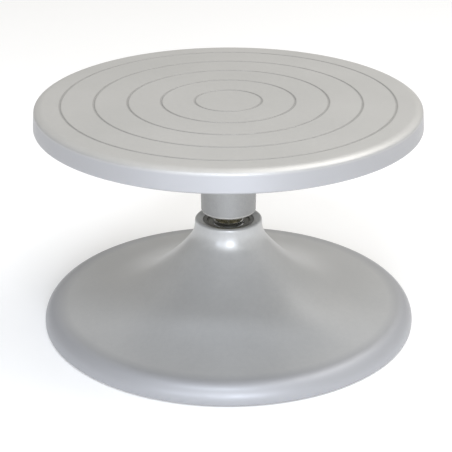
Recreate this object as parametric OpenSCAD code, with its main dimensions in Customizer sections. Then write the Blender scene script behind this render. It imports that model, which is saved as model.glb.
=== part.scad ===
// Revolving cake stand: a ringed aluminium plate on a tall stem, turning on a steel spindle that drops
// into two ball bearings in a flared aluminium base. Millimetres, +Z up, z = 0 is the table.

/* [Overall] */
// Height of the plate's top face above the table
total_h = 181; // [155:1:220]
// Diameter of the plate
plate_d = 296; // [250:1:360]
// Diameter of the base at its widest
base_d = 294; // [245:1:355]

/* [Plate] */
// Thickness of the disc
disc_t = 6; // [4:0.5:9]
// Depth of the rim, from the top face to its lower edge
rim_h = 16.5; // [12:0.5:24]
// Wall of the rim
rim_wall = 5.5; // [4:0.5:8]
// Width of the eased shoulder where the top face falls away to the rim
shoulder_w = 8; // [4:0.5:12]
// Drop of that shoulder
shoulder_drop = 1.6; // [0.5:0.1:3]
// Lean of the rim: how much wider it is at its lower edge
rim_lean = 1; // [0:0.1:2]
// Radius of the rim's upper corner
rim_corner_r = 2; // [1:0.25:4]
// Step in radius from one guide ring to the next
ring_pitch = 25.4; // [20:0.1:27]
// Number of guide rings cut in the top face
ring_count = 5; // [3:1:5]
// Width of a guide ring
ring_groove_w = 0.9; // [0.4:0.1:1.6]
// Number of ribs under the plate
plate_ribs = 8; // [4:1:12]
// Thickness of the ribs under the plate
plate_rib_t = 4; // [3:0.5:6]

/* [Stem and spindle] */
// Diameter of the stem at its lower end
stem_d = 42.8; // [36:0.2:52]
// Draft of the stem, in degrees
stem_draft = 0.6; // [0:0.1:2]
// Gap between the stem's lower end and the mouth of the cup
stem_gap = 6; // [5:0.5:12]
// Diameter of the spindle's threaded end
stud_d = 14; // [10:1:16]
// Length of thread inside the stem
stud_l = 32; // [20:1:50]
// Thickness of the lock nut
nut_h = 7; // [5:0.5:8]
// Size of the lock nut across its flats
nut_flats = 21; // [18:0.5:26]

/* [Bearings] */
// Upper bearing: bore
upper_bore = 17; // [16:0.5:21]
// Upper bearing: outside diameter
upper_od = 40; // [39:1:42]
// Upper bearing: width
upper_w = 12; // [11:1:14]
// Upper bearing: ball diameter
upper_ball_d = 6.75; // [6:0.01:6.9]
// Lower bearing: bore
lower_bore = 15; // [12:1:16]
// Lower bearing: outside diameter
lower_od = 35; // [33:1:37]
// Lower bearing: width
lower_w = 11; // [10:1:12]
// Lower bearing: ball diameter
lower_ball_d = 5.95; // [5:0.01:6.2]
// Balls in each bearing
balls = 8; // [7:1:8]

/* [Base] */
// Height of the cup's mouth above the table
cup_h = 85; // [76:1:102]
// Depth of the upper bearing below the mouth
seat_depth = 4; // [3.5:0.5:8]
// Wall of the cup around the upper bearing
cup_wall = 6.4; // [5:0.2:9]
// Rounding of the lip
lip_r = 2; // [1:0.25:3]
// Height from the mouth down to where the collar has become the flare
collar_h = 16; // [15:0.5:20]
// Radius of the flare
flare_r = 130; // [110:2:220]
// Radius of the rounding between collar and flare
collar_fillet_r = 24; // [14:1:26]
// Radius of the rounded foot rim
foot_r = 12.5; // [9:0.5:15]
// Thickness of the flared shell
shell_t = 5; // [4:0.5:7]
// Number of ribs under the shell
base_ribs = 6; // [3:1:10]
// Thickness of the ribs under the shell
base_rib_t = 5; // [4:0.5:8]
// Width of the foot's flat land
foot_land_w = 12; // [10:0.5:16]
// Wall of the bearing housing around the lower bearing
housing_wall = 4.5; // [3:0.5:8]
// Height of the housing's lower end above the table
housing_z = 10; // [6:1:14]

/* [Foot ring] */
// Width of the rubber ring
rubber_w = 6; // [4:0.5:8]
// Depth of its groove
rubber_groove = 3; // [2:0.5:5]
// Height that the rubber stands below the casting
rubber_proud = 1; // [0.5:0.25:2]

/* [Hidden] */
$fn = 96;

slide_fit = 0.015;    // radial gap of the spindle in the inner races
thread_fit = 0.05;    // radial gap standing in for the thread's flanks
seat_fit = 0.01;      // radial gap of an outer race in its seat
edge = 1;             // edge break on turned and cast parts
eps = 0.01;           // how far a cutter runs past the face that it opens
root = 2;             // how far a rib runs into what it stands on

plate_r = plate_d / 2;
base_r = base_d / 2;
stem_r = stem_d / 2;

// Heights, from the cup down and from the cup up
stem_z = cup_h + stem_gap;
nut_z = stem_z - nut_h;
upper_top = cup_h - seat_depth;
upper_z = upper_top - upper_w;
circlip_t = 1.75;
circlip_groove = 1.85;
groove_depth = 0.9;   // depth of a retaining ring's groove
ring_land = 4;        // metal left below the lower retaining ring
lower_z = housing_z + circlip_groove + ring_land;
lower_top = lower_z + lower_w;
foot_z = rubber_proud;

// Bearing proportions
function pitch_r(bore, od) = (bore + od) / 4;
function land(ball_d) = 0.296 * ball_d;
ball_gap = 0.03;      // gap between a ball and its groove
pocket_gap = 0.12;    // gap between a ball and its cage pocket
cage_t = 0.8;         // sheet of the cage
shield_t = 0.5;       // sheet of a shield
shield_gap = 0.3;     // gap between a shield and the inner race
shield_step = 1;      // width of the step that holds a shield
shield_sink = 1.4;    // depth of that step

function angle_of(v) = atan2(v[1], v[0]);
function on(c, r, a) = c + r * [cos(a), sin(a)];

// Where the two circles about p and q meet, on the left of the line from p to q
function meet(p, rp, q, rq) =
    let (d = norm(q - p), u = (q - p) / d, a = (rp * rp - rq * rq + d * d) / (2 * d), h = sqrt(rp * rp - a * a))
    p + a * u + h * [-u[1], u[0]];

// The sliver between a square corner at p and the arc that rounds it; sx and sy point into the corner
module spandrel(p, sx, sy, r) {
    translate(p) mirror([sx < 0 ? 1 : 0, 0]) mirror([0, sy < 0 ? 1 : 0]) difference() {
        translate([-eps, -eps]) square(r + eps);
        translate([r, r]) circle(r = r);
    }
}

// The part of a disc of radius r about c that lies between the directions a and b
module slice(c, r, a, b) {
    intersection() {
        translate(c) circle(r = r, $fn = 180);
        polygon([c, on(c, 2 * r, a), on(c, 3 * r, (a + b) / 2), on(c, 2 * r, b)]);
    }
}

// A closed ring from a section drawn in radius and height
module turned(points) { rotate_extrude() polygon(points); }
module ring(r1, r2, z1, z2, c = 0) {
    turned([[r1 + c, z1], [r2 - c, z1], [r2, z1 + c], [r2, z2 - c],
            [r2 - c, z2], [r1 + c, z2], [r1, z2 - c], [r1, z1 + c]]);
}
module around(n, start = 0) { for (i = [0:n - 1]) rotate(start + 360 * i / n) children(); }

// ---- Plate -------------------------------------------------------------------------------------------

disc_under = total_h - disc_t;
rim_z = total_h - rim_h;
rim_in = plate_r - rim_wall;
rim_edge_r = 1.2;     // rounding of the rim's lower edge
stem_edge_r = 2;      // rounding of the stem's lower edge
stem_root_r = 6;      // fillet between stem and disc
rim_root_r = 3;       // fillet between rim and disc
rib_drop = 7;         // depth of a rib at the rim
rib_gusset = 30;      // length of the rib's gusset down the stem
stem_top_r = stem_r + (disc_under - stem_z) * tan(stem_draft);

// The shoulder is an arc that is level where it leaves the top face and runs on into the rim's corner
corner_c = [plate_r - rim_lean - rim_corner_r, total_h - shoulder_drop - rim_corner_r];
shoulder_run = corner_c[0] - (plate_r - shoulder_w);
shoulder_rise = shoulder_drop + rim_corner_r;
shoulder_r = (pow(shoulder_run, 2) + pow(shoulder_rise, 2) - pow(rim_corner_r, 2)) / (2 * shoulder_drop);
shoulder_c = [plate_r - shoulder_w, total_h - shoulder_r];
shoulder_a = angle_of(corner_c - shoulder_c);

// The rim leans along the line that touches the corner's arc and the edge of the rim
to_edge = [plate_r, rim_z] - corner_c;
lean_a = angle_of(to_edge) + acos(rim_corner_r / norm(to_edge));
edge_z = rim_z + rim_edge_r;
edge_shift = (rim_corner_r - rim_edge_r - (edge_z - corner_c[1]) * sin(lean_a)) / cos(lean_a);
edge_c = [corner_c[0] + edge_shift, edge_z];

module plate_section() {
    difference() {
        union() {
            translate([0, rim_z]) square([corner_c[0], corner_c[1] - rim_z]);
            translate([0, rim_z]) square([shoulder_c[0], rim_h]);
            polygon([[0, corner_c[1]], [0, rim_z], [edge_c[0], rim_z], edge_c, on(edge_c, rim_edge_r, lean_a),
                     on(corner_c, rim_corner_r, lean_a), corner_c]);
            slice(shoulder_c, shoulder_r, 90, shoulder_a);
            translate(corner_c) circle(r = rim_corner_r);
            translate(edge_c) circle(r = rim_edge_r);
            polygon([[0, stem_z], [stem_r, stem_z], [stem_top_r, disc_under], [0, disc_under]]);
        }
        difference() {
            translate([stem_top_r, stem_z]) square([rim_in - stem_top_r, disc_under - stem_z]);
            spandrel([rim_in, disc_under], -1, -1, rim_root_r);
            spandrel([stem_top_r, disc_under], 1, -1, stem_root_r);
        }
        spandrel([stem_r, stem_z], -1, 1, stem_edge_r);
        spandrel([rim_in, rim_z], 1, 1, rim_edge_r);
        for (i = [1:ring_count]) translate([ring_pitch * i, total_h]) circle(d = ring_groove_w, $fn = 24);
    }
}

module plate_rib() {
    foot = stem_r - root;
    reach = rim_in + root;
    rotate([90, 0, 0]) translate([0, 0, -plate_rib_t / 2]) linear_extrude(plate_rib_t)
        polygon([[foot, disc_under + root], [reach, disc_under + root], [reach, disc_under - rib_drop],
                 [stem_r + 0.6 * rib_gusset, disc_under - 1.3 * rib_drop], [foot, disc_under - rib_gusset]]);
}

module turntable_plate() {
    color("silver") difference() {
        union() {
            rotate_extrude() plate_section();
            around(plate_ribs, 180 / plate_ribs) plate_rib();
        }
        translate([0, 0, stem_z - eps]) cylinder(d = stud_d + 2 * thread_fit, h = stud_l + 2 * edge);
        translate([0, 0, stem_z - eps]) cylinder(d1 = stud_d + 3 * edge, d2 = stud_d, h = 1.5 * edge);
    }
}

// ---- Spindle and lock nut ----------------------------------------------------------------------------

spindle_end = housing_z + 2;
spindle_lead = 2;     // taper at the spindle's lower end
journal_rise = 6;     // height from the lower bearing up to the upper journal
shoulder_inset = 0.6; // how far the spindle's shoulder stays inside the edge of the inner race
spindle_shoulder_r = pitch_r(upper_bore, upper_od) - land(upper_ball_d) - shoulder_inset;

module spindle() {
    stud = stud_d / 2;
    upper = upper_bore / 2 - slide_fit;
    lower = lower_bore / 2 - slide_fit;
    step = lower_top + journal_rise;
    c = edge / 2;
    color("lightsteelblue") turned([
        [0, spindle_end], [lower - spindle_lead, spindle_end], [lower, spindle_end + spindle_lead],
        [lower, step],
        [upper - c, step], [upper, step + c], [upper, upper_top],
        [spindle_shoulder_r - c, upper_top], [spindle_shoulder_r, upper_top + c],
        [spindle_shoulder_r, nut_z - c], [spindle_shoulder_r - c, nut_z],
        [stud, nut_z], [stud, stem_z + stud_l - edge], [stud - edge, stem_z + stud_l], [0, stem_z + stud_l],
    ]);
}

module hex_nut(flats, h, bore) {
    corner = flats / sqrt(3);
    difference() {
        intersection() {
            cylinder(r = corner, h = h, $fn = 6);
            turned([[0, 0], [flats / 2, 0], [corner + 0.1, (corner - flats / 2) * tan(30)],
                    [corner + 0.1, h - (corner - flats / 2) * tan(30)], [flats / 2, h], [0, h]]);
        }
        translate([0, 0, -edge]) cylinder(d = bore, h = h + 2 * edge);
        translate([0, 0, -eps]) cylinder(d1 = bore + 2 * edge, d2 = bore, h = edge);
        translate([0, 0, h - edge + eps]) cylinder(d1 = bore, d2 = bore + 2 * edge, h = edge);
    }
}

module stem_lock_nut() {
    color("goldenrod") translate([0, 0, nut_z]) rotate(-90) hex_nut(nut_flats, nut_h, stud_d + 2 * thread_fit);
}

// ---- Ball bearings -----------------------------------------------------------------------------------
// A bearing is described by [bore, outside diameter, width, ball diameter, height of its lower face].

upper = [upper_bore, upper_od, upper_w, upper_ball_d, upper_z];
lower = [lower_bore, lower_od, lower_w, lower_ball_d, lower_z];
race_edge = 0.8;

function mid_z(b) = b[4] + b[2] / 2;
function b_pitch(b) = pitch_r(b[0], b[1]);

module ball_groove(b, side) {
    groove = 0.52 * b[3];
    r = b_pitch(b) + side * (b[3] / 2 + ball_gap - groove);
    rotate_extrude() translate([r, mid_z(b)]) circle(r = groove, $fn = 64);
}

module inner_race(b) {
    difference() {
        ring(b[0] / 2, b_pitch(b) - land(b[3]), b[4], b[4] + b[2], race_edge / 2);
        ball_groove(b, -1);
    }
}

module shield_steps(b) {
    r = b_pitch(b) + land(b[3]) + shield_step;
    for (z = [b[4] - eps, b[4] + b[2] - shield_sink])
        translate([0, 0, z]) cylinder(r = r, h = shield_sink + eps);
}

module outer_race(b) {
    difference() {
        ring(b_pitch(b) + land(b[3]), b[1] / 2 - seat_fit, b[4], b[4] + b[2], race_edge / 2);
        ball_groove(b, 1);
        shield_steps(b);
    }
}

// A pressed sheet disc, stepped inwards between its rim and its lip
module shield(b, top) {
    out = b_pitch(b) + land(b[3]) + shield_step - seat_fit;
    lip = b_pitch(b) - land(b[3]) + shield_gap;
    mid = out - 1.6;
    sink = 0.35;
    section = [[lip, 0], [mid - 0.6, 0], [mid, sink], [out, sink], [out, sink + shield_t],
               [mid - 0.25, sink + shield_t], [mid - 0.85, shield_t], [lip, shield_t]];
    inset = shield_sink - shield_t;
    if (top) translate([0, 0, b[4] + b[2] - inset]) turned(section);
    else translate([0, 0, b[4] + inset]) mirror([0, 0, 1]) turned(section);
}

module race_balls(b) { around(balls) translate([b_pitch(b), 0, mid_z(b)]) sphere(d = b[3]); }

// Half of a riveted ribbon cage: a flat ring with a domed pocket over each ball
module cage_half(b, side) {
    pocket = b[3] / 2 + pocket_gap;
    band = land(b[3]) - 0.5;
    rise = pocket + cage_t;
    translate([0, 0, mid_z(b)]) mirror([0, 0, side < 0 ? 1 : 0]) difference() {
        intersection() {
            union() {
                ring(b_pitch(b) - band, b_pitch(b) + band, 0, cage_t);
                around(balls) translate([b_pitch(b), 0, 0]) sphere(r = rise);
            }
            ring(b_pitch(b) - band, b_pitch(b) + band, 0, rise + 1);
        }
        around(balls) translate([b_pitch(b), 0, 0]) sphere(r = pocket);
        around(balls, 180 / balls)
            translate([b_pitch(b), 0, -1]) cylinder(r = rivet_r + seat_fit, h = cage_t + 2);
    }
}

rivet_r = 0.6;
module cage_rivets(b) {
    around(balls, 180 / balls) translate([b_pitch(b), 0, mid_z(b)]) turned([
        [0, -cage_t - 0.4], [rivet_r + 0.2, -cage_t - 0.4], [rivet_r + 0.4, -cage_t], [rivet_r, -cage_t],
        [rivet_r, cage_t], [rivet_r + 0.4, cage_t], [rivet_r + 0.2, cage_t + 0.4], [0, cage_t + 0.4],
    ]);
}

// Internal retaining ring: open at one side, with an ear and a plier hole at each end
module circlip(b, z) {
    out = b[1] / 2 + groove_depth - 0.1;
    wide = b[1] / 2 - 3;
    translate([0, 0, z]) difference() {
        union() {
            ring(wide, out, 0, circlip_t);
            for (s = [-1, 1])
                rotate(90 + s * ear_a) translate([wide + 0.2, 0, 0]) cylinder(r = ear_r, h = circlip_t);
        }
        rotate(90) open_side(out + ear_r);
        for (s = [-1, 1]) rotate(90 + s * ear_a) translate([wide, 0, -1]) cylinder(r = 1, h = circlip_t + 2);
    }
}
gap_a = 15;           // half of the angle that the ring leaves open
ear_a = gap_a + 6;    // where an ear stands
ear_r = 2.6;

module open_side(r) {
    corner = r * [cos(gap_a), sin(gap_a)];
    translate([0, 0, -1]) linear_extrude(circlip_t + 2)
        polygon([[0, 0], [corner[0], -corner[1]], [r, 0], corner]);
}

// ---- Base --------------------------------------------------------------------------------------------

cup_out = upper_od / 2 + cup_wall;
neck_step = 3.5;      // how far outside the cup the flare sets off
foot_upright = 2.5;   // height of the straight part of the foot's side
neck = [cup_out + neck_step, cup_h - collar_h];
foot_c = [base_r - foot_r, foot_z + foot_upright];
flare_c = meet(neck, flare_r, foot_c, flare_r + foot_r);
fillet_x = cup_out + collar_fillet_r;
fillet_c = [fillet_x, flare_c[1] - sqrt(pow(flare_r - collar_fillet_r, 2) - pow(flare_c[0] - fillet_x, 2))];
flare_a = angle_of(fillet_c - flare_c);
foot_a = angle_of(foot_c - flare_c);
land_in = base_r - foot_land_w;
foot_mid = base_r - foot_land_w / 2 - 0.5;
housing_r = lower_od / 2 + housing_wall;
seat_floor = 11;      // metal below the upper bearing's seat
cavity_top = upper_z - seat_floor;
cavity_root_r = 4;    // fillet where the shell meets the housing

// The mouth is dished: it slopes in from the round of the lip to the bore above the retaining ring
mouth = [upper_od / 2 + 0.2, upper_top + circlip_groove + 0.6];
lip_c = [cup_out - lip_r, cup_h - lip_r];
dish_a = 360 + angle_of(mouth - lip_c) - acos(lip_r / norm(mouth - lip_c));

// Height of the flare, or of the curve that runs `inset` inside it, at radius r
function flare_z(r, inset = 0) = flare_c[1] - sqrt(pow(flare_r + inset, 2) - pow(flare_c[0] - r, 2));

module base_outline() {
    difference() {
        polygon([[0, foot_z], [base_r, foot_z], [base_r, foot_c[1]], foot_c, on(flare_c, flare_r, foot_a),
                 on(flare_c, flare_r * 0.8, (flare_a + foot_a) / 2), fillet_c,
                 [cup_out, fillet_c[1]], [cup_out, lip_c[1]], lip_c, on(lip_c, lip_r, dish_a),
                 mouth, [mouth[0], upper_top], [0, upper_top]]);
        slice(flare_c, flare_r, flare_a, foot_a);
        translate(fillet_c) circle(r = collar_fillet_r);
        spandrel([base_r, foot_z], -1, 1, edge);
    }
    translate(lip_c) circle(r = lip_r);
    intersection() {
        translate(foot_c) circle(r = foot_r, $fn = 180);
        translate([0, foot_c[1]]) square([base_r, foot_r]);
    }
}

// The hollow under the shell, outside the bearing housing
module base_cavity() {
    difference() {
        translate([housing_r, -1]) square([land_in - housing_r, cavity_top + 1]);
        translate(flare_c) circle(r = flare_r + shell_t, $fn = 180);
        spandrel([housing_r, cavity_top], 1, -1, cavity_root_r);
        spandrel([land_in, flare_z(land_in, shell_t)], -1, -1, cavity_root_r);
    }
}

module base_rib() {
    out = land_in + root;
    reach = housing_r - root;
    rotate([90, 0, 0]) translate([0, 0, -base_rib_t / 2]) linear_extrude(base_rib_t) difference() {
        polygon([[reach, housing_z + root], [out, foot_z + root],
                 [out, cavity_top + root], [reach, cavity_top + root]]);
        translate(flare_c) circle(r = flare_r + shell_t / 2, $fn = 180);
    }
}

module base_casting() {
    through_r = pitch_r(lower_bore, lower_od) + land(lower_ball_d) + shield_gap;
    color("gainsboro") difference() {
        union() {
            rotate_extrude() difference() {
                base_outline();
                base_cavity();
            }
            around(base_ribs, 90) base_rib();
        }
        // bearing seats, the bore between them, and a groove for each circlip
        translate([0, 0, upper_z]) cylinder(r = upper_od / 2, h = upper_top - upper_z + eps);
        translate([0, 0, lower_top - eps]) cylinder(r = through_r, h = upper_z - lower_top + 2 * eps);
        translate([0, 0, -1]) cylinder(r = lower_od / 2, h = lower_top + 1);
        translate([0, 0, upper_top]) cylinder(r = upper_od / 2 + groove_depth, h = circlip_groove);
        translate([0, 0, lower_z - circlip_groove])
            cylinder(r = lower_od / 2 + groove_depth, h = circlip_groove);
        // the housing stops short of the table
        translate([0, 0, -1]) cylinder(r = housing_r + 1, h = housing_z + 1);
        // groove for the rubber ring
        ring(foot_mid - rubber_w / 2, foot_mid + rubber_w / 2, foot_z - 1, foot_z + rubber_groove);
    }
}

// ---- Rubber foot ring --------------------------------------------------------------------------------

module foot_ring() {
    w = rubber_w / 2 - 0.05;
    h = foot_z + rubber_groove - 0.05;
    color("dimgray") turned([
        [foot_mid - w, foot_z], [foot_mid - w + rubber_proud, 0], [foot_mid + w - rubber_proud, 0],
        [foot_mid + w, foot_z], [foot_mid + w, h], [foot_mid - w, h],
    ]);
}

turntable_plate();
spindle();
stem_lock_nut();
color("slategray") inner_race(upper);  // upper_inner_race
color("slategray") inner_race(lower);  // lower_inner_race
color("lightgray") race_balls(upper);  // upper_balls
color("darkgray") cage_half(upper, 1);  // upper_cage_top
color("darkgray") cage_half(upper, -1);  // upper_cage_bottom
color("gray") cage_rivets(upper);  // upper_cage_rivets
color("lightgray") race_balls(lower);  // lower_balls
color("darkgray") cage_half(lower, 1);  // lower_cage_top
color("darkgray") cage_half(lower, -1);  // lower_cage_bottom
color("gray") cage_rivets(lower);  // lower_cage_rivets
color("slategray") outer_race(upper);  // upper_outer_race
color("silver") shield(upper, true);  // upper_shield_top
color("silver") shield(upper, false);  // upper_shield_bottom
color("dimgray") circlip(upper, upper_top);  // upper_circlip
color("slategray") outer_race(lower);  // lower_outer_race
color("silver") shield(lower, true);  // lower_shield_top
color("silver") shield(lower, false);  // lower_shield_bottom
color("dimgray") circlip(lower, lower_z - circlip_groove);  // lower_circlip
base_casting();
foot_ring();
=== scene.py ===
import math

import bmesh
import bpy
import numpy as np
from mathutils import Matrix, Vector


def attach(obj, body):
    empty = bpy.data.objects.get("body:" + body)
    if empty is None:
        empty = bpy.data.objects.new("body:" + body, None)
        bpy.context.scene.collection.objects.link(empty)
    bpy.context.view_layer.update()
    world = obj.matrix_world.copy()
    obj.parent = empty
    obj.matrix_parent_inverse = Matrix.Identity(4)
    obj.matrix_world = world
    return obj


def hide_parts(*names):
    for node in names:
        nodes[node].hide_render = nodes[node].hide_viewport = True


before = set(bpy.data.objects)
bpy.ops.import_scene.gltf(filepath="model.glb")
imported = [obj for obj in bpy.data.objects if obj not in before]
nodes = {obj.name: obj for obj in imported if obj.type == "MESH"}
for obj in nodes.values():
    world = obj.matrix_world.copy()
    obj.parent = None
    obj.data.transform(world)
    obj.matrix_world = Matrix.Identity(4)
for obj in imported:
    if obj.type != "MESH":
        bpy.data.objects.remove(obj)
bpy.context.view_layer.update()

# ---- Base casting ------------------------------------------------------------------------------------
# One aluminium casting: a cup for the upper bearing on a neck that flares into a wide dish, hollow
# underneath. It is fettled, sprayed with silver enamel, and then bored bare for the two bearings.

BASE_RADIUS = 0.147
FOOT_ROUND = 0.0125
FOOT_UPRIGHT = 0.0025
FOOT_EDGE = 0.001
FOOT_HEIGHT = 0.001                      # the casting stands this far up on its rubber ring
FOOT_LAND = 0.012                        # width of the flat underneath the foot
GROOVE_SETBACK = 0.0065                  # from the base's edge to the middle of the rubber's groove
GROOVE_HALF = 0.003
GROOVE_DEPTH = 0.003
CUP_MOUTH = 0.085
CUP_OUTSIDE = 0.0264
LIP_ROUND = 0.002
NECK_STEP = 0.0035                       # the flare's circle passes this far outside the cup
COLLAR = 0.016                           # and this far under the cup's mouth
FLARE_RADIUS = 0.130
NECK_FILLET = 0.024
SHELL = 0.005
HOUSING = 0.022
HOUSING_END = 0.010
CAST_EDGE = 0.0008
CAST_FILLET = 0.004
FILLET_DROP = 0.0042                     # from the underside down to the rim fillet's centre
FILLET_RUN = 0.006                       # from the land to where the underside takes over
CAVITY_STEP = 0.002                      # the underside stops this far from the cavity's flat top
UPPER_SEAT = (0.020, 0.069, 0.081)       # radius, floor, top
LOWER_SEAT = (0.0175, 0.01585, 0.02685)  # radius, lower face, roof
SEAT_FLOOR = 0.011                       # metal under the upper bearing
CLIP_GROOVE_DEPTH = 0.0009
CLIP_GROOVE_WIDTH = 0.00185
BORE_CHAMFER = 0.0006
THROUGH_BORE = 0.01456
MOUTH_RELIEF = 0.0002                    # the mouth's dish starts this far outside the upper seat
MOUTH_RISE = 0.00245                     # and this far above it
ENAMEL, BARE, ROUGH_CAST = 0, 1, 2       # what a stretch of an outline is finished in
SAME_POINT = 1e-6
SHORT_STRAIGHT = 0.0008                  # a straight shorter than this takes no more points
ARC_STEP, ARC_BEND = 0.003, 6            # a straight this short, bent this little, is a step of an arc
BY_A_CORNER = 0.00015
LONG_STRAIGHT, LONG_PARTS = 0.01, 7


def arc(centre, radius, start, stop, steps):
    """Points on an arc in radius and height; the angles are in degrees."""
    angles = np.radians(np.linspace(start, stop, steps + 1))
    return [(centre[0] + radius * math.cos(a), centre[1] + radius * math.sin(a)) for a in angles]


def heading(a, b):
    return math.degrees(math.atan2(b[1] - a[1], b[0] - a[0]))


def circles_meet(p, rp, q, rq):
    """Where two circles meet, on the left of the line from p to q."""
    p, q = np.array(p), np.array(q)
    gap = np.linalg.norm(q - p)
    along = (q - p) / gap
    a = (rp * rp - rq * rq + gap * gap) / (2 * gap)
    aside = math.sqrt(rp * rp - a * a)
    return p + a * along + aside * np.array([-along[1], along[0]])


def bend_between(first, second):
    """How far one straight turns from the other, in degrees."""
    return abs((heading(*first) - heading(*second) + 180) % 360 - 180)


def outline_of(stretches, closed):
    """Joins stretches of (finish, points) into one outline, with a point close to each end of every
    straight that is not a step of an arc, so that the shading stays flat along it."""
    run = []
    for finish, points in stretches:
        for p in points:
            if not run or math.dist(run[-1][:2], p) > SAME_POINT:
                run.append((p[0], p[1], finish))
    if closed:
        run.append(run[0])
    kept = [run[0]]
    for i in range(1, len(run)):
        p, q = run[i - 1], run[i]
        length = math.dist(p[:2], q[:2])
        beside = ((run[max(i - 2, 0)], p), (q, run[min(i + 1, len(run) - 1)]))
        bend = max(bend_between((p, q), pair) for pair in beside if pair[0] != pair[1])
        along_arc = length < ARC_STEP and bend < ARC_BEND
        if length > SHORT_STRAIGHT and not along_arc:
            near = BY_A_CORNER / length
            between = (0.5,) if length < LONG_STRAIGHT else np.linspace(0, 1, LONG_PARTS + 1)[1:-1]
            for t in (near, *between, 1 - near):
                kept.append((p[0] + (q[0] - p[0]) * t, p[1] + (q[1] - p[1]) * t, max(p[2], q[2])))
        kept.append(q)
    return kept[:-1] if closed else kept


def turning_tree():
    """A node tree that turns an outline about the vertical axis and gives each stretch its finish."""
    tree = bpy.data.node_groups.new("turned_about_spindle", "GeometryNodeTree")
    tree.is_modifier = True
    face = tree.interface
    face.new_socket("Outline", in_out="INPUT", socket_type="NodeSocketGeometry")
    face.new_socket("Facets", in_out="INPUT", socket_type="NodeSocketInt").default_value = 256
    face.new_socket("Main finish", in_out="INPUT", socket_type="NodeSocketMaterial")
    face.new_socket("Bare finish", in_out="INPUT", socket_type="NodeSocketMaterial")
    face.new_socket("Cast finish", in_out="INPUT", socket_type="NodeSocketMaterial")
    face.new_socket("Turned", in_out="OUTPUT", socket_type="NodeSocketGeometry")
    add, link = tree.nodes.new, tree.links.new
    given, out = add("NodeGroupInput"), add("NodeGroupOutput")
    section = add("GeometryNodeMeshToCurve")
    path = add("GeometryNodeCurvePrimitiveCircle")
    path.inputs["Radius"].default_value = 1.0
    sweep = add("GeometryNodeCurveToMesh")
    merge = add("GeometryNodeMergeByDistance")
    merge.inputs["Distance"].default_value = 2 * SAME_POINT
    smooth = add("GeometryNodeSetShadeSmooth")
    link(given.outputs["Outline"], section.inputs["Mesh"])
    link(given.outputs["Facets"], path.inputs["Resolution"])
    link(path.outputs["Curve"], sweep.inputs["Curve"])
    link(section.outputs["Curve"], sweep.inputs["Profile Curve"])
    link(sweep.outputs["Mesh"], merge.inputs["Geometry"])
    link(merge.outputs["Geometry"], smooth.inputs["Geometry"])
    realize = add("GeometryNodeRealizeInstances")
    link(smooth.outputs["Geometry"], realize.inputs["Geometry"])
    last = realize.outputs["Geometry"]
    finish = add("GeometryNodeInputNamedAttribute")
    finish.data_type = "FLOAT"
    finish.inputs["Name"].default_value = "finish"
    past_enamel, past_bare = 0.6, 1.6
    for socket, least in (("Main finish", None), ("Bare finish", past_enamel), ("Cast finish", past_bare)):
        paint = add("GeometryNodeSetMaterial")
        link(last, paint.inputs["Geometry"])
        link(given.outputs[socket], paint.inputs["Material"])
        if least is not None:
            above = add("FunctionNodeCompare")
            above.data_type = "FLOAT"
            above.operation = "GREATER_THAN"
            link(finish.outputs["Attribute"], above.inputs["A"])
            above.inputs["B"].default_value = least
            link(above.outputs["Result"], paint.inputs["Selection"])
        last = paint.outputs["Geometry"]
    link(last, out.inputs["Turned"])
    return tree


def set_input(modifier, name, value):
    for item in modifier.node_group.interface.items_tree:
        if item.item_type == "SOCKET" and item.in_out == "INPUT" and item.name == name:
            modifier[item.identifier] = value


def made_plain(obj, name):
    """The evaluated result as a plain mesh, faces outwards, with the modifier gone."""
    bpy.context.view_layer.update()
    graph = bpy.context.evaluated_depsgraph_get()
    seen = obj.evaluated_get(graph)
    mesh = bpy.data.meshes.new_from_object(seen, preserve_all_data_layers=True, depsgraph=graph)
    bpy.data.objects.remove(obj)
    work = bmesh.new()
    work.from_mesh(mesh)
    bmesh.ops.recalc_face_normals(work, faces=work.faces)
    work.to_mesh(mesh)
    work.free()
    mesh.name = name
    piece = bpy.data.objects.new(name, mesh)
    bpy.context.scene.collection.objects.link(piece)
    return piece


TURNING = turning_tree()


def turned(name, stretches, main, bare=None, cast=None, facets=256, closed=True):
    """A piece turned about the spindle's axis from its outline."""
    points = outline_of(stretches, closed)
    edges = [(i, i + 1) for i in range(len(points) - 1)]
    if closed:
        edges.append((len(points) - 1, 0))
    mesh = bpy.data.meshes.new(name)
    # the path that the outline is swept along has a radius of 1 m, so the outline is drawn 1 m in from it
    mesh.from_pydata([(r - 1.0, -z, 0) for r, z, _ in points], edges, [])
    finishes = mesh.attributes.new("finish", "FLOAT", "POINT")
    finishes.data.foreach_set("value", [float(p[2]) for p in points])
    obj = bpy.data.objects.new(name, mesh)
    bpy.context.scene.collection.objects.link(obj)
    modifier = obj.modifiers.new("turned", "NODES")
    modifier.node_group = TURNING
    set_input(modifier, "Facets", facets)
    set_input(modifier, "Main finish", main)
    set_input(modifier, "Bare finish", bare or main)
    set_input(modifier, "Cast finish", cast or main)
    return made_plain(obj, name)


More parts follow.
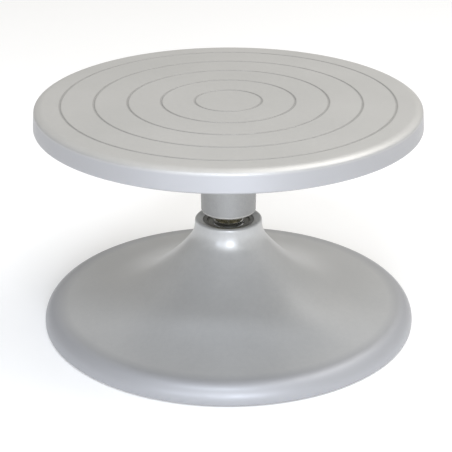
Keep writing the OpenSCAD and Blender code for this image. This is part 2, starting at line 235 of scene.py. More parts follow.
class Finish:
    """A material being mixed: a thin hand on the node tree, all in metres on the piece's own coordinates."""

    def __init__(self, name):
        self.material = bpy.data.materials.new(name)
        self.material.use_nodes = True
        self.nodes = self.material.node_tree.nodes
        self.shader = self.nodes["Principled BSDF"]
        self.place = self.nodes.new("ShaderNodeTexCoord").outputs["Object"]

    def link(self, a, b):
        self.material.node_tree.links.new(a, b)

    def set(self, **values):
        for name, value in values.items():
            self.shader.inputs[name.replace("_", " ")].default_value = value

    def grain(self, per_metre, detail=3.0, rough=0.5, stretch=None, kind="Noise", seed=0.0):
        """Noise at so many features a metre; stretch squeezes it along an axis."""
        node = self.nodes.new("ShaderNodeTex" + kind)
        shift = self.nodes.new("ShaderNodeMapping")
        shift.inputs["Location"].default_value = (seed, seed * 0.7, seed * 0.3)
        shift.inputs["Scale"].default_value = stretch or (1, 1, 1)
        self.link(self.place, shift.inputs["Vector"])
        self.link(shift.outputs["Vector"], node.inputs["Vector"])
        node.inputs["Scale"].default_value = per_metre
        if kind == "Noise":
            node.inputs["Detail"].default_value = detail
            node.inputs["Roughness"].default_value = rough
            return node.outputs["Fac"]
        return node.outputs["Distance"]

    def spread(self, value, low, high, to_low=0.0, to_high=1.0):
        node = self.nodes.new("ShaderNodeMapRange")
        node.inputs["From Min"].default_value = low
        node.inputs["From Max"].default_value = high
        node.inputs["To Min"].default_value = to_low
        node.inputs["To Max"].default_value = to_high
        self.link(value, node.inputs["Value"])
        return node.outputs["Result"]

    def sum(self, a, b, how="ADD"):
        node = self.nodes.new("ShaderNodeMath")
        node.operation = how
        for socket, value in zip(node.inputs, (a, b)):
            if isinstance(value, (int, float)):
                socket.default_value = value
            elif value is not None:
                self.link(value, socket)
        return node.outputs[0]

    def blend(self, how_much, first, second):
        node = self.nodes.new("ShaderNodeMix")
        node.data_type = "RGBA"
        if isinstance(how_much, (int, float)):
            node.inputs["Factor"].default_value = how_much
        else:
            self.link(how_much, node.inputs["Factor"])
        for socket, value in ((node.inputs[6], first), (node.inputs[7], second)):
            if isinstance(value, tuple):
                socket.default_value = (*value, 1.0)
            else:
                self.link(value, socket)
        return node.outputs[2]

    def relief(self, *layers):
        """Bump from (height, depth in metres) layers, coarse to fine."""
        last = None
        for height, depth in layers:
            node = self.nodes.new("ShaderNodeBump")
            node.inputs["Distance"].default_value = depth
            self.link(height, node.inputs["Height"])
            if last is not None:
                self.link(last, node.inputs["Normal"])
            last = node.outputs["Normal"]
        self.link(last, self.shader.inputs["Normal"])

    def radius(self):
        """Distance from the spindle's axis."""
        flat = self.nodes.new("ShaderNodeVectorMath")
        flat.operation = "MULTIPLY"
        flat.inputs[1].default_value = (1, 1, 0)
        self.link(self.place, flat.inputs[0])
        size = self.nodes.new("ShaderNodeVectorMath")
        size.operation = "LENGTH"
        self.link(flat.outputs[0], size.inputs[0])
        return size.outputs["Value"]

    def height(self):
        split = self.nodes.new("ShaderNodeSeparateXYZ")
        self.link(self.place, split.inputs[0])
        return split.outputs["Z"]


def silver_enamel(name, tint, shade, gloss, metal):
    """Silver enamel sprayed on a casting: fine flake, a slight orange peel, and the metal's waviness."""
    coat = Finish(name)
    cloud = coat.grain(14, detail=2.0, seed=3.0)
    mist = coat.grain(260, detail=4.0, rough=0.6, seed=1.0)
    flake = coat.grain(2600, detail=2.0, rough=0.7, seed=5.0)
    tone = coat.sum(coat.spread(cloud, 0.3, 0.7, -0.5, 0.5), coat.spread(mist, 0.35, 0.65, -0.25, 0.25))
    tone = coat.sum(tone, coat.spread(flake, 0.35, 0.65, -0.4, 0.4))
    coat.link(coat.blend(coat.spread(tone, -1.0, 1.0), shade, tint), coat.shader.inputs["Base Color"])
    patches = coat.spread(mist, 0.3, 0.7, gloss - 0.04, gloss + 0.04)
    coat.link(coat.sum(patches, coat.spread(flake, 0.3, 0.7, -0.03, 0.03)), coat.shader.inputs["Roughness"])
    coat.set(Metallic=metal, Specular_IOR_Level=0.5, Coat_Weight=0.12, Coat_Roughness=0.22)
    waves = coat.grain(60, detail=1.0, seed=7.0)
    orange_peel = coat.grain(520, detail=2.0, seed=9.0)
    coat.relief((waves, 0.00006), (orange_peel, 0.000018), (flake, 0.000004))
    return coat


BASE_SILVER = (0.58, 0.58, 0.575)
BASE_SHADE = (0.49, 0.495, 0.495)
# the colour of the painted shade round the foot
FOOT_PAINTED_SHADE = (0.35, 0.355, 0.38)
FOOT_FROM, FOOT_TO = 0.128, 0.141
base_coat = silver_enamel("base_silver_enamel", BASE_SILVER, BASE_SHADE, 0.37, 0.45)

# painted shade: the base is coloured darker round the foot, and its enamel is rougher there, dull where the
# base is handled
foot_shade_mask = base_coat.spread(base_coat.radius(), FOOT_FROM, FOOT_TO, 0.0, 0.8)
sprayed = base_coat.shader.inputs["Base Color"].links[0].from_socket
base_coat.link(base_coat.blend(foot_shade_mask, sprayed, FOOT_PAINTED_SHADE), base_coat.shader.inputs["Base Color"])
glossy = base_coat.shader.inputs["Roughness"].links[0].from_socket
rubbed = base_coat.spread(base_coat.radius(), FOOT_FROM, FOOT_TO, 0.0, 0.12)
base_coat.link(base_coat.sum(glossy, rubbed), base_coat.shader.inputs["Roughness"])

# the hollow side keeps the sand's skin under a thinner coat
cast = silver_enamel("sprayed_cast_underside", (0.42, 0.42, 0.41), (0.30, 0.30, 0.30), 0.55, 0.6)
lumps = cast.grain(90, detail=3.0, seed=2.0)
sand = cast.grain(900, detail=4.0, rough=0.7, seed=4.0)
cast.relief((lumps, 0.00025), (sand, 0.00012))

# bored metal: bright rings left by the tool, one every quarter of a millimetre
bored = Finish("bored_aluminium")
tool_rings = bored.grain(4000, detail=1.0, stretch=(0.02, 0.02, 1.0), seed=2.0)
bright = bored.blend(bored.grain(300, seed=1.0), (0.55, 0.55, 0.54), (0.68, 0.68, 0.67))
bored.link(bright, bored.shader.inputs["Base Color"])
bored.link(bored.spread(tool_rings, 0.3, 0.7, 0.24, 0.40), bored.shader.inputs["Roughness"])
bored.set(Metallic=1.0, Anisotropic=0.4)
bored.relief((tool_rings, 0.00001))

foot_centre = (BASE_RADIUS - FOOT_ROUND, FOOT_HEIGHT + FOOT_UPRIGHT)
flare_start = (CUP_OUTSIDE + NECK_STEP, CUP_MOUTH - COLLAR)
flare_centre = circles_meet(flare_start, FLARE_RADIUS, foot_centre, FLARE_RADIUS + FOOT_ROUND)
fillet_x = CUP_OUTSIDE + NECK_FILLET
fillet_drop = math.sqrt((FLARE_RADIUS - NECK_FILLET) ** 2 - (flare_centre[0] - fillet_x) ** 2)
fillet_centre = (fillet_x, flare_centre[1] - fillet_drop)
neck_angle = heading(flare_centre, fillet_centre)
foot_angle = heading(flare_centre, foot_centre)
land = BASE_RADIUS - FOOT_LAND
inner = FLARE_RADIUS + SHELL


def under_shell(radius):
    """Height of the shell's underside at a distance from the axis."""
    return flare_centre[1] - math.sqrt(inner ** 2 - (flare_centre[0] - radius) ** 2)


def under_angle(radius):
    return heading(flare_centre, (radius, under_shell(radius)))


cavity_top = UPPER_SEAT[1] - SEAT_FLOOR
cavity_edge = flare_centre[0] - math.sqrt(inner ** 2 - (flare_centre[1] - cavity_top) ** 2)
rubber_mid = BASE_RADIUS - GROOVE_SETBACK
groove_in, groove_out = rubber_mid - GROOVE_HALF, rubber_mid + GROOVE_HALF
groove_top = FOOT_HEIGHT + GROOVE_DEPTH
rim_fillet = (land - CAST_FILLET, under_shell(land - CAST_FILLET) - FILLET_DROP)
from_rim, to_cavity = under_angle(land - FILLET_RUN), under_angle(cavity_edge + CAVITY_STEP)
lower_bore, lower_clip = LOWER_SEAT[0], LOWER_SEAT[0] + CLIP_GROOVE_DEPTH
upper_bore, upper_clip = UPPER_SEAT[0], UPPER_SEAT[0] + CLIP_GROOVE_DEPTH
lower_clip_end = LOWER_SEAT[1] - CLIP_GROOVE_WIDTH
upper_clip_end = UPPER_SEAT[2] + CLIP_GROOVE_WIDTH
mouth = (UPPER_SEAT[0] + MOUTH_RELIEF, UPPER_SEAT[2] + MOUTH_RISE)
lip_centre = (CUP_OUTSIDE - LIP_ROUND, CUP_MOUTH - LIP_ROUND)
dish_lean = math.degrees(math.acos(LIP_ROUND / math.dist(lip_centre, mouth)))
dish_angle = heading(lip_centre, mouth) % 360 - dish_lean
base_outline = [
    (ENAMEL, [mouth]),
    (ENAMEL, arc(lip_centre, LIP_ROUND, dish_angle, 0, 20)),
    (ENAMEL, arc(fillet_centre, NECK_FILLET, 180, neck_angle + 360, 12)),
    (ENAMEL, arc(flare_centre, FLARE_RADIUS, neck_angle, foot_angle, 72)),
    (ENAMEL, arc(foot_centre, FOOT_ROUND, foot_angle + 180, 0, 28)),
    (ENAMEL, arc((BASE_RADIUS - FOOT_EDGE, FOOT_HEIGHT + FOOT_EDGE), FOOT_EDGE, 0, -90, 6)),
    (ROUGH_CAST, [(groove_out, FOOT_HEIGHT), (groove_out, groove_top)]),
    (ROUGH_CAST, [(groove_in, groove_top), (groove_in, FOOT_HEIGHT)]),
    (ROUGH_CAST, arc((land + CAST_EDGE, FOOT_HEIGHT + CAST_EDGE), CAST_EDGE, -90, -180, 5)),
    (ROUGH_CAST, arc(rim_fillet, CAST_FILLET, 0, 80, 6)),
    (ROUGH_CAST, arc(flare_centre, inner, from_rim, to_cavity, 48)),
    (ROUGH_CAST, arc((HOUSING + CAST_FILLET, cavity_top - CAST_FILLET), CAST_FILLET, 90, 180, 8)),
    (ROUGH_CAST, arc((HOUSING - CAST_EDGE, HOUSING_END + CAST_EDGE), CAST_EDGE, 0, -90, 5)),
    (BARE, [(lower_bore + BORE_CHAMFER, HOUSING_END), (lower_bore, HOUSING_END + BORE_CHAMFER)]),
    (BARE, [(lower_bore, lower_clip_end), (lower_clip, lower_clip_end)]),
    (BARE, [(lower_clip, LOWER_SEAT[1]), (lower_bore, LOWER_SEAT[1])]),
    (BARE, [(lower_bore, LOWER_SEAT[2]), (THROUGH_BORE, LOWER_SEAT[2]), (THROUGH_BORE, UPPER_SEAT[1])]),
    (BARE, [(upper_bore, UPPER_SEAT[1]), (upper_bore, UPPER_SEAT[2]), (upper_clip, UPPER_SEAT[2])]),
    (BARE, [(upper_clip, upper_clip_end), (mouth[0], upper_clip_end)]),
]
base_shell = turned("base_shell", base_outline, base_coat.material, bored.material, cast.material)
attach(base_shell, "base")
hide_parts("base_casting")

# ---- Ribs under the base -----------------------------------------------------------------------------
# Six ribs cast in one with the shell, from the bearing housing out to the foot. Cast ribs have round edges
# and no bright tool marks, and they take the overspray of the silver enamel.

BASE_RIBS = 6
BASE_RIB_THICKNESS = 0.005
RIB_EDGE = 0.0008
RIB_INTO_METAL = 0.002                   # each rib runs this far into the metal round it
RIB_TOP_FROM = 0.012                     # from the housing to where a rib's top follows the shell
RIB_SHADING = 35                         # corners sharper than this, in degrees, stay crisp


def rib_blank(name, side, thickness, edge):
    """A rib standing in the XZ plane, drawn as its side view and given its thickness, with rounded edges."""
    work = bmesh.new()
    face = work.faces.new([work.verts.new((x, -thickness / 2, z)) for x, z in side])
    grown = bmesh.ops.extrude_face_region(work, geom=[face])
    far_side = [v for v in grown["geom"] if isinstance(v, bmesh.types.BMVert)]
    bmesh.ops.translate(work, verts=far_side, vec=(0, thickness, 0))
    bmesh.ops.recalc_face_normals(work, faces=work.faces)
    long_edges = [e for e in work.edges if abs(e.verts[0].co.y - e.verts[1].co.y) < SAME_POINT / 10]
    bmesh.ops.bevel(work, geom=long_edges, offset=edge, segments=3, profile=0.5, affect="EDGES")
    mesh = bpy.data.meshes.new(name)
    work.to_mesh(mesh)
    work.free()
    obj = bpy.data.objects.new(name, mesh)
    bpy.context.scene.collection.objects.link(obj)
    return obj


def ring_tree():
    """A node tree that sets copies of a shape round the spindle's axis."""
    tree = bpy.data.node_groups.new("set_round_spindle", "GeometryNodeTree")
    tree.is_modifier = True
    face = tree.interface
    face.new_socket("Shape", in_out="INPUT", socket_type="NodeSocketGeometry")
    face.new_socket("Count", in_out="INPUT", socket_type="NodeSocketInt").default_value = 6
    face.new_socket("First angle", in_out="INPUT", socket_type="NodeSocketFloat")
    face.new_socket("Finish", in_out="INPUT", socket_type="NodeSocketMaterial")
    face.new_socket("Ring", in_out="OUTPUT", socket_type="NodeSocketGeometry")
    add, link = tree.nodes.new, tree.links.new
    given, out = add("NodeGroupInput"), add("NodeGroupOutput")
    spots = add("GeometryNodePoints")
    link(given.outputs["Count"], spots.inputs["Count"])
    index = add("GeometryNodeInputIndex")
    step = add("ShaderNodeMath")
    step.operation = "DIVIDE"
    step.inputs[0].default_value = 2 * math.pi
    link(given.outputs["Count"], step.inputs[1])
    turn = add("ShaderNodeMath")
    turn.operation = "MULTIPLY_ADD"
    link(index.outputs["Index"], turn.inputs[0])
    link(step.outputs[0], turn.inputs[1])
    link(given.outputs["First angle"], turn.inputs[2])
    about = add("ShaderNodeCombineXYZ")
    link(turn.outputs[0], about.inputs["Z"])
    copies = add("GeometryNodeInstanceOnPoints")
    link(spots.outputs[0], copies.inputs["Points"])
    link(given.outputs["Shape"], copies.inputs["Instance"])
    link(about.outputs[0], copies.inputs["Rotation"])
    realize = add("GeometryNodeRealizeInstances")
    link(copies.outputs["Instances"], realize.inputs["Geometry"])
    paint = add("GeometryNodeSetMaterial")
    link(realize.outputs["Geometry"], paint.inputs["Geometry"])
    link(given.outputs["Finish"], paint.inputs["Material"])
    link(paint.outputs["Geometry"], out.inputs["Ring"])
    return tree


ROUND_SPINDLE = ring_tree()


def set_round(obj, name, count, first, finish):
    modifier = obj.modifiers.new("round", "NODES")
    modifier.node_group = ROUND_SPINDLE
    set_input(modifier, "Count", count)
    set_input(modifier, "First angle", math.radians(first))
    set_input(modifier, "Finish", finish)
    return made_plain(obj, name)


def smooth_rounds(piece, angle):
    """Smooth shading, with the corners sharper than the angle kept crisp."""
    piece.data.shade_smooth()
    piece.data.set_sharp_from_angle(angle=math.radians(angle))


reach = np.linspace(HOUSING + RIB_TOP_FROM, land + RIB_INTO_METAL / 2, 14)
mid_radius = FLARE_RADIUS + SHELL / 2
mid_shell = [(r, flare_centre[1] - math.sqrt(mid_radius ** 2 - (flare_centre[0] - r) ** 2)) for r in reach]
rib_side = [(HOUSING - RIB_INTO_METAL, HOUSING_END + RIB_INTO_METAL),
            (land + RIB_INTO_METAL, FOOT_HEIGHT + RIB_INTO_METAL), *reversed(mid_shell),
            (HOUSING - RIB_INTO_METAL, cavity_top + RIB_INTO_METAL)]
one_rib = rib_blank("base_rib", rib_side, BASE_RIB_THICKNESS, RIB_EDGE)
base_ribs = set_round(one_rib, "base_ribs", BASE_RIBS, 90, cast.material)
smooth_rounds(base_ribs, RIB_SHADING)
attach(base_ribs, "base")
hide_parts("base_casting")

# ---- Rubber foot ring --------------------------------------------------------------------------------
# A ring of black rubber pressed into the groove under the rim. It is moulded, so it has round edges and a
# dull skin, and it has picked up a little dust where it meets the table.

RUBBER_HALF = 0.00295
RUBBER_SUNK = 0.00295
RUBBER_ROUND = 0.0010

rubber = Finish("moulded_rubber")
skin = rubber.grain(1500, detail=3.0, seed=1.0)
dust = rubber.spread(rubber.grain(45, detail=4.0, rough=0.65, seed=6.0), 0.45, 0.75)
dusted = rubber.blend(dust, (0.018, 0.018, 0.019), (0.055, 0.053, 0.050))
rubber.link(dusted, rubber.shader.inputs["Base Color"])
rubber.link(rubber.spread(skin, 0.3, 0.7, 0.58, 0.78), rubber.shader.inputs["Roughness"])
rubber.relief((skin, 0.00003))
ring_in, ring_out = rubber_mid - RUBBER_HALF, rubber_mid + RUBBER_HALF
ring_outline = [
    (ENAMEL, arc((ring_out - RUBBER_ROUND, RUBBER_ROUND), RUBBER_ROUND, 0, -90, 6)),
    (ENAMEL, arc((ring_in + RUBBER_ROUND, RUBBER_ROUND), RUBBER_ROUND, -90, -180, 6)),
    (ENAMEL, [(ring_in, FOOT_HEIGHT + RUBBER_SUNK), (ring_out, FOOT_HEIGHT + RUBBER_SUNK)]),
]
foot_ring = turned("rubber_foot_ring", ring_outline, rubber.material, facets=192)
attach(foot_ring, "base")
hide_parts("foot_ring")

# ---- Ball bearings -----------------------------------------------------------------------------------
# Two shielded ball bearings. The rings and balls are ground bearing steel, the shields and the two halves
# of each cage are pressed from thin sheet, and small rivets hold the halves together.

ground = Finish("ground_bearing_steel")
stone_marks = ground.grain(3500, detail=2.0, stretch=(0.03, 0.03, 1.0), seed=3.0)
cloudy = ground.grain(120, detail=3.0, seed=2.0)
ground.link(ground.blend(cloudy, (0.52, 0.53, 0.54), (0.66, 0.67, 0.68)), ground.shader.inputs["Base Color"])
ground.link(ground.spread(stone_marks, 0.3, 0.7, 0.14, 0.26), ground.shader.inputs["Roughness"])
ground.set(Metallic=1.0, Anisotropic=0.3)
ground.relief((stone_marks, 0.000004))

sheet = Finish("pressed_sheet_steel")
roll_marks = sheet.grain(1800, detail=3.0, stretch=(1.0, 0.04, 1.0), seed=4.0)
mottle = sheet.grain(200, detail=4.0, rough=0.6, seed=8.0)
sheet.link(sheet.blend(mottle, (0.40, 0.40, 0.39), (0.56, 0.56, 0.54)), sheet.shader.inputs["Base Color"])
sheet.link(sheet.spread(roll_marks, 0.3, 0.7, 0.28, 0.42), sheet.shader.inputs["Roughness"])
sheet.set(Metallic=1.0)
sheet.relief((roll_marks, 0.000006), (sheet.grain(600, detail=2.0, seed=9.0), 0.00001))

polished = Finish("polished_ball_steel")
film = polished.grain(500, detail=3.0, seed=5.0)
lapping = polished.grain(2500, detail=2.0, seed=2.0)
mirror_grey = polished.blend(film, (0.66, 0.67, 0.68), (0.74, 0.75, 0.76))
polished.link(mirror_grey, polished.shader.inputs["Base Color"])
polished.link(polished.spread(lapping, 0.3, 0.7, 0.05, 0.10), polished.shader.inputs["Roughness"])
polished.set(Metallic=1.0)
polished.relief((polished.grain(4000, detail=2.0, seed=6.0), 0.0000008))

# the upper faces carry a film of old grease and dust, and are coloured darker as painted shade under the
# stem
greased_and_shaded = Finish("greased_and_shaded_sheet_steel")
smear = greased_and_shaded.grain(260, detail=4.0, rough=0.6, seed=3.0)
grease_and_shade_grey = greased_and_shaded.blend(smear, (0.27, 0.265, 0.24), (0.42, 0.41, 0.38))
greased_and_shaded.link(grease_and_shade_grey, greased_and_shaded.shader.inputs["Base Color"])
greased_and_shaded.link(greased_and_shaded.spread(smear, 0.3, 0.7, 0.42, 0.60), greased_and_shaded.shader.inputs["Roughness"])
greased_and_shaded.set(Metallic=0.5)
greased_and_shaded.relief((smear, 0.00002))


def paint_node(name, finish):
    """Gives a part of the frame its finish, and leaves its mesh alone."""
    part = nodes[name]
    if not part.material_slots:
        part.data.materials.append(finish.material)
    for held in part.material_slots:
        held.material = finish.material


BALLS = 8
BEARINGS = (                             # name, ball circle's radius, ball, height of the balls' middle
    ("upper", 0.01425, 0.00675, 0.075),
    ("lower", 0.0125, 0.00595, 0.02135),
)
for bearing, pitch, ball, middle in BEARINGS:
    for ring in ("outer_race", "inner_race"):
        paint_node(f"{bearing}_{ring}", ground)
    for pressing in ("shield_top", "shield_bottom", "cage_top", "cage_bottom", "cage_rivets"):
        paint_node(f"{bearing}_{pressing}", sheet)
    # the top shields take the darker greased finish, partly painted shade
    paint_node(f"{bearing}_shield_top", greased_and_shaded)
    work = bmesh.new()
    bmesh.ops.create_icosphere(work, subdivisions=4, radius=ball / 2)
    bmesh.ops.translate(work, verts=work.verts, vec=(pitch, 0, middle))
    one = bpy.data.meshes.new(f"{bearing}_ball")
    work.to_mesh(one)
    work.free()
    one.shade_smooth()
    one_ball = bpy.data.objects.new(f"{bearing}_ball", one)
    bpy.context.scene.collection.objects.link(one_ball)
    balls = set_round(one_ball, f"{bearing}_ball_set", BALLS, 0, polished.material)
    balls.data.shade_smooth()
    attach(balls, f"{bearing}_cage")
    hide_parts(f"{bearing}_balls")

# ---- Circlips ----------------------------------------------------------------------------------------
# Internal retaining rings stamped from spring steel and phosphated dark, with an eye at each end for the
# pliers. One keeps the upper bearing down in the cup and one keeps the lower bearing up in its housing.

spring = Finish("phosphated_spring_steel")
crystal = spring.grain(2200, detail=3.0, rough=0.7, seed=2.0)
phosphate = spring.blend(spring.grain(350, detail=4.0, seed=5.0), (0.20, 0.20, 0.195), (0.30, 0.295, 0.28))
spring.link(phosphate, spring.shader.inputs["Base Color"])
spring.link(spring.spread(crystal, 0.3, 0.7, 0.38, 0.55), spring.shader.inputs["Roughness"])
spring.set(Metallic=0.8)
spring.relief((crystal, 0.00001))
paint_node("upper_circlip", spring)
paint_node("lower_circlip", spring)

# ---- Spindle -----------------------------------------------------------------------------------------
# Turned from one bar of steel: a thread into the stem, a shoulder that stands on the upper bearing, and two
# journals. Left bare, with the fine rings of the lathe and a film of oil.

lathe_steel = Finish("turned_steel")
lathe_rings = lathe_steel.grain(5200, detail=2.0, stretch=(0.015, 0.015, 1.0), seed=1.0)
oil = lathe_steel.spread(lathe_steel.grain(110, detail=3.0, seed=7.0), 0.4, 0.7)
oiled = lathe_steel.blend(oil, (0.56, 0.56, 0.55), (0.42, 0.41, 0.38))
lathe_steel.link(oiled, lathe_steel.shader.inputs["Base Color"])
turned_gloss = lathe_steel.spread(lathe_rings, 0.3, 0.7, 0.20, 0.34)
lathe_steel.link(turned_gloss, lathe_steel.shader.inputs["Roughness"])
lathe_steel.set(Metallic=1.0, Anisotropic=0.5)
lathe_steel.relief((lathe_rings, 0.000008))
paint_node("spindle", lathe_steel)

# ---- Lock nut ----------------------------------------------------------------------------------------
# A thin hexagon nut that locks the spindle against the stem's end. Yellow zinc plate over bright steel,
# paler at its corners: rubbed by the spanner, and a painted highlight for the glint.

NUT_PALE_FROM, NUT_CORNER = 0.0113, 0.0121
zinc = Finish("yellow_zinc_plate")
bloom = zinc.grain(240, detail=3.0, seed=3.0)
# paler towards the corners: spanner wear together with a painted highlight
corner_wear_and_glint = zinc.spread(zinc.radius(), NUT_PALE_FROM, NUT_CORNER)
plate_hue = zinc.blend(zinc.spread(bloom, 0.35, 0.65), (0.60, 0.54, 0.34), (0.62, 0.58, 0.42))
zinc.link(zinc.blend(corner_wear_and_glint, plate_hue, (0.70, 0.67, 0.56)), zinc.shader.inputs["Base Color"])
scuffs = zinc.grain(1400, detail=3.0, seed=5.0)
zinc.link(zinc.spread(scuffs, 0.3, 0.7, 0.22, 0.36), zinc.shader.inputs["Roughness"])
zinc.set(Metallic=1.0)
zinc.relief((zinc.grain(900, detail=2.0, seed=8.0), 0.000012))
paint_node("stem_lock_nut", zinc)

# ---- Turntable plate ---------------------------------------------------------------------------------
# The second aluminium casting: disc, rim and long stem in one. The top is faced flat on a lathe and scribed
# with five guide rings an inch apart, then sprayed; the rings are coloured darker, grime with painted shade
# of the grooves.

PLATE_RADIUS = 0.148
PLATE_TOP = 0.181
DISC_UNDER = PLATE_TOP - 0.006
RIM_END = PLATE_TOP - 0.0165
RIM_INSIDE = PLATE_RADIUS - 0.0055
RIM_LEAN = 0.001
SHOULDER_WIDTH = 0.008
SHOULDER_DROP = 0.0016
CORNER = 0.002
EDGE = 0.0012
RING_STEP = 0.0254
RING_WIDTH = 0.0009
RING_LIP = 0.0001                        # the spray rounds each ring's edges by this much
RING_CHAMFER = (0.00002, 0.00006)        # inwards, downwards
RINGS = 5
STEM_END = 0.091
STEM_RADIUS = 0.0214
STEM_DRAFT = 0.6
STEM_ROUND = 0.002
STEM_FILLET = 0.006
RIM_FILLET = 0.003
STUD = 0.00705
STUD_HOLE = 0.034
STUD_LEAD = 0.0015
PLATE_SILVER = (0.60, 0.59, 0.57)
PLATE_SHADE = (0.53, 0.525, 0.505)
RING_GRIME_AND_SHADE = (0.32, 0.312, 0.295)
RING_DARK_REACH = (0.0014, 0.0003)           # from a ring's middle: where the darkening starts, where it is full
TOP_SKIN = 0.0004
RIM_PAINTED_SHADE = (0.37, 0.375, 0.40)
RIM_SHADE_FADE = (0.0012, 0.0045)              # under the top: where the rim's painted shade starts, where it is full
PAST_STEM = 0.1

plate_coat = silver_enamel("plate_silver_enamel", PLATE_SILVER, PLATE_SHADE, 0.46, 0.55)
# a darker band along each ring on the top: grime together with painted shade of the groove
from_axis = plate_coat.radius()
in_step = plate_coat.sum(plate_coat.sum(from_axis, RING_STEP / 2), RING_STEP, "MODULO")
off_ring = plate_coat.sum(in_step, RING_STEP / 2, "SUBTRACT")
ring_grime_and_shade_mask = plate_coat.spread(plate_coat.sum(off_ring, None, "ABSOLUTE"), *RING_DARK_REACH)
on_top = plate_coat.sum(plate_coat.height(), PLATE_TOP - TOP_SKIN, "GREATER_THAN")
outside = plate_coat.sum(from_axis, RING_STEP / 2, "GREATER_THAN")
ring_grime_and_shade_mask = plate_coat.sum(plate_coat.sum(ring_grime_and_shade_mask, on_top, "MULTIPLY"), outside, "MULTIPLY")
uneven = plate_coat.spread(plate_coat.grain(80, detail=3.0, seed=4.0), 0.3, 0.6, 0.6, 1.0)
ring_grime_and_shade_mask = plate_coat.sum(ring_grime_and_shade_mask, uneven, "MULTIPLY")
clean = plate_coat.shader.inputs["Base Color"].links[0].from_socket
ring_darkened = plate_coat.blend(ring_grime_and_shade_mask, clean, RING_GRIME_AND_SHADE)
# painted shade: the outside of the rim is coloured darker and bluer than the top
rim_shade_by_height = plate_coat.spread(plate_coat.height(), PLATE_TOP - RIM_SHADE_FADE[0], PLATE_TOP - RIM_SHADE_FADE[1], 0.0, 0.8)
rim_shade_mask = plate_coat.sum(rim_shade_by_height, plate_coat.sum(from_axis, PAST_STEM, "GREATER_THAN"), "MULTIPLY")
plate_coat.link(plate_coat.blend(rim_shade_mask, ring_darkened, RIM_PAINTED_SHADE), plate_coat.shader.inputs["Base Color"])

# the groove's own colour is dark: grime together with painted shade of the recess
groove_grime_and_shade = Finish("guide_ring_grime_and_painted_shade")
specks = groove_grime_and_shade.grain(900, detail=4.0, rough=0.7, seed=2.0)
groove_grime_and_shade.link(groove_grime_and_shade.blend(specks, (0.34, 0.335, 0.32), (0.42, 0.415, 0.40)), groove_grime_and_shade.shader.inputs["Base Color"])
groove_grime_and_shade.link(groove_grime_and_shade.spread(specks, 0.3, 0.7, 0.55, 0.75), groove_grime_and_shade.shader.inputs["Roughness"])
groove_grime_and_shade.set(Metallic=0.25)
groove_grime_and_shade.relief((specks, 0.00002))

stem_top = STEM_RADIUS + (DISC_UNDER - STEM_END) * math.tan(math.radians(STEM_DRAFT))
corner_centre = (PLATE_RADIUS - RIM_LEAN - CORNER, PLATE_TOP - SHOULDER_DROP - CORNER)
shoulder_run = corner_centre[0] - (PLATE_RADIUS - SHOULDER_WIDTH)
shoulder_radius = (shoulder_run ** 2 + (SHOULDER_DROP + CORNER) ** 2 - CORNER ** 2) / (2 * SHOULDER_DROP)
shoulder_centre = (PLATE_RADIUS - SHOULDER_WIDTH, PLATE_TOP - shoulder_radius)
shoulder_angle = heading(shoulder_centre, corner_centre)
to_edge = (PLATE_RADIUS - corner_centre[0], RIM_END - corner_centre[1])
lean = math.degrees(math.atan2(to_edge[1], to_edge[0]))
lean += math.degrees(math.acos(CORNER / math.hypot(*to_edge)))
edge_z = RIM_END + EDGE
edge_run = CORNER - EDGE - (edge_z - corner_centre[1]) * math.sin(math.radians(lean))
edge_centre = (corner_centre[0] + edge_run / math.cos(math.radians(lean)), edge_z)

stem_fillet = (stem_top + STEM_FILLET, DISC_UNDER - STEM_FILLET)

plate_outline = [(ENAMEL, [(0.0, PLATE_TOP)])]
half_ring = RING_WIDTH / 2
ring_edge = half_ring - RING_CHAMFER[0]
ring_z = PLATE_TOP - RING_CHAMFER[1]
for number in range(1, RINGS + 1):
    middle = RING_STEP * number
    plate_outline += [
        (ENAMEL, [(middle - half_ring - RING_LIP, PLATE_TOP)]),
        (BARE, [(middle - ring_edge, ring_z)]),
        (BARE, arc((middle, ring_z), ring_edge, 195, 345, 6)),
        (BARE, [(middle + ring_edge, ring_z)]),
        (ENAMEL, [(middle + half_ring + RING_LIP, PLATE_TOP)]),
    ]
plate_outline += [
    (ENAMEL, arc(shoulder_centre, shoulder_radius, 90, shoulder_angle, 16)),
    (ENAMEL, arc(corner_centre, CORNER, shoulder_angle, lean, 14)),
    (ENAMEL, arc(edge_centre, EDGE, lean, -90, 10)),
    (ROUGH_CAST, arc((RIM_INSIDE + EDGE, RIM_END + EDGE), EDGE, -90, -180, 8)),
    (ROUGH_CAST, arc((RIM_INSIDE - RIM_FILLET, DISC_UNDER - RIM_FILLET), RIM_FILLET, 0, 90, 8)),
    (ROUGH_CAST, arc(stem_fillet, STEM_FILLET, 90, 180 - STEM_DRAFT, 12)),
    (ENAMEL, arc((STEM_RADIUS - STEM_ROUND, STEM_END + STEM_ROUND), STEM_ROUND, -STEM_DRAFT, -90, 10)),
    (BARE, [(STUD + STUD_LEAD, STEM_END), (STUD, STEM_END + STUD_LEAD)]),
    (BARE, [(STUD, STEM_END + STUD_HOLE), (0.0, STEM_END + STUD_HOLE)]),
]
plate_finishes = (plate_coat.material, groove_grime_and_shade.material, cast.material)
plate_shell = turned("plate_shell", plate_outline, *plate_finishes, closed=False)
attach(plate_shell, "turntable")
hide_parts("turntable_plate")

# ---- Ribs under the plate ----------------------------------------------------------------------------
# Eight thin ribs cast in one with the disc, each running down the stem as a gusset to keep the plate flat.

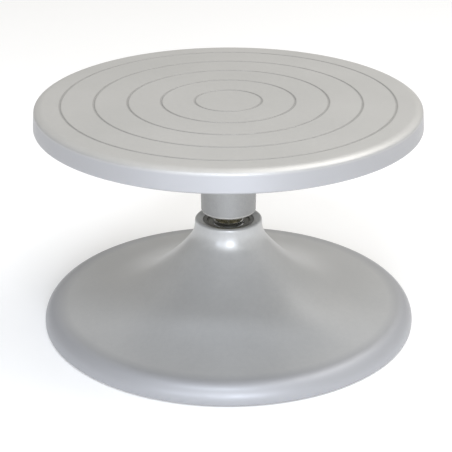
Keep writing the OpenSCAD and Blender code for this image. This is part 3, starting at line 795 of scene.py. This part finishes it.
PLATE_RIBS = 8
PLATE_RIB_THICKNESS = 0.004
FIRST_RIB = 22.5
GUSSET_DROP = 0.030                      # from the disc down to the gusset's foot on the stem
GUSSET_REACH = 0.018                     # from the stem out to where the gusset ends
GUSSET_END_DROP = 0.0091
RIB_END_DROP = 0.007
at_stem, at_rim_wall = STEM_RADIUS - RIB_INTO_METAL, RIM_INSIDE + RIB_INTO_METAL
rib_side = [(at_stem, DISC_UNDER - GUSSET_DROP), (STEM_RADIUS + GUSSET_REACH, DISC_UNDER - GUSSET_END_DROP),
            (at_rim_wall, DISC_UNDER - RIB_END_DROP), (at_rim_wall, DISC_UNDER + RIB_INTO_METAL),
            (at_stem, DISC_UNDER + RIB_INTO_METAL)]
one_rib = rib_blank("plate_rib", rib_side, PLATE_RIB_THICKNESS, RIB_EDGE)
plate_ribs = set_round(one_rib, "plate_ribs", PLATE_RIBS, FIRST_RIB, cast.material)
smooth_rounds(plate_ribs, RIB_SHADING)
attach(plate_ribs, "turntable")
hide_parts("turntable_plate")

# ---- Floor, light and camera -------------------------------------------------------------------------
# A white paper floor in a pale room, with a broad light overhead, a fill and a narrow strip in front, and
# two small soft windows low down at the front. The camera looks down on the plate from the front.

FLOOR_HALF = 8
FLOOR_GLOW = 0.14
ROOM_LEVEL = 0.64
ROOM_RIGHT = 0.15                        # the room's right side is brighter by this much
ROOM_FRONT = -0.06                       # and its front by this much, towards -Y
SENSOR = 36
LENS = 1392.2 / 452 * SENSOR
CAMERA_AWAY = 1.00491
CAMERA_ABOVE_PLATE = 0.33611
CAMERA_DOWN, CAMERA_ROLL, CAMERA_PAN = 23.648, 0.118, 0.061
CAMERA_END = 50

corners = [(x * FLOOR_HALF, y * FLOOR_HALF, 0) for x, y in ((-1, -1), (1, -1), (1, 1), (-1, 1))]
sweep = bpy.data.meshes.new("studio_floor")
sweep.from_pydata(corners, [], [(0, 1, 2, 3)])
floor = bpy.data.objects.new("studio_floor", sweep)
bpy.context.scene.collection.objects.link(floor)
paper = Finish("white_paper")
fibres = paper.grain(3, detail=2.0)
paper.link(paper.blend(fibres, (0.90, 0.90, 0.90), (0.92, 0.92, 0.92)), paper.shader.inputs["Base Color"])
paper.set(Roughness=0.9, Emission_Color=(1.0, 1.0, 1.0, 1.0), Emission_Strength=FLOOR_GLOW)
floor.data.materials.append(paper.material)

world = bpy.data.worlds.new("studio")
bpy.context.scene.world = world
world.use_nodes = True
wires = world.node_tree.links.new
toward = world.node_tree.nodes.new("ShaderNodeSeparateXYZ")
wires(world.node_tree.nodes.new("ShaderNodeTexCoord").outputs["Generated"], toward.inputs[0])
side = world.node_tree.nodes.new("ShaderNodeMath")
side.operation = "MULTIPLY_ADD"
side.inputs[1].default_value = ROOM_RIGHT
side.inputs[2].default_value = ROOM_LEVEL
wires(toward.outputs["X"], side.inputs[0])
wall = world.node_tree.nodes.new("ShaderNodeMath")
wall.operation = "MULTIPLY_ADD"
wall.inputs[1].default_value = ROOM_FRONT
wires(toward.outputs["Y"], wall.inputs[0])
wires(side.outputs[0], wall.inputs[2])
world.node_tree.nodes["Background"].inputs["Color"].default_value = (1.0, 0.985, 0.955, 1.0)
wires(wall.outputs[0], world.node_tree.nodes["Background"].inputs["Strength"])


def soft_light(name, place, target, width, depth, power, hue):
    lamp = bpy.data.lights.new(name, "AREA")
    lamp.shape = "RECTANGLE"
    lamp.size, lamp.size_y = width, depth
    lamp.energy = power
    lamp.color = hue
    obj = bpy.data.objects.new(name, lamp)
    bpy.context.scene.collection.objects.link(obj)
    obj.location = place
    obj.rotation_euler = (Vector(target) - Vector(place)).to_track_quat("-Z", "Y").to_euler()


# name, place, what it faces, width, depth, power, hue
soft_light("overhead", (0.7, 0.2, 1.5), (0, 0, 0.1), 1.2, 1.0, 9, (1.0, 0.985, 0.96))
soft_light("front_fill", (0.1, -1.9, 0.7), (0, 0, 0.09), 1.4, 0.8, 8, (0.93, 0.96, 1.0))
soft_light("front_strip", (-0.10, -0.78, 1.35), (0, -0.14, 0.05), 0.7, 0.16, 7, (0.84, 0.90, 1.0))
soft_light("window_left", (-0.72, -1.32, 0.42), (0, 0, 0.07), 0.11, 0.20, 2.2, (0.80, 0.87, 1.0))
soft_light("window_right", (0.14, -1.50, 0.42), (0, 0, 0.07), 0.16, 0.26, 5.0, (0.80, 0.87, 1.0))

camera = bpy.data.objects.new("camera", bpy.data.cameras.new("camera"))
bpy.context.scene.collection.objects.link(camera)
camera.data.lens = LENS
camera.data.sensor_width = SENSOR
camera.data.clip_end = CAMERA_END
camera.location = (0.0, -CAMERA_AWAY, PLATE_TOP + CAMERA_ABOVE_PLATE)
camera.rotation_euler = (math.radians(90 - CAMERA_DOWN), math.radians(CAMERA_ROLL), math.radians(CAMERA_PAN))
bpy.context.scene.camera = camera
bpy.context.scene.view_settings.view_transform = "Standard"
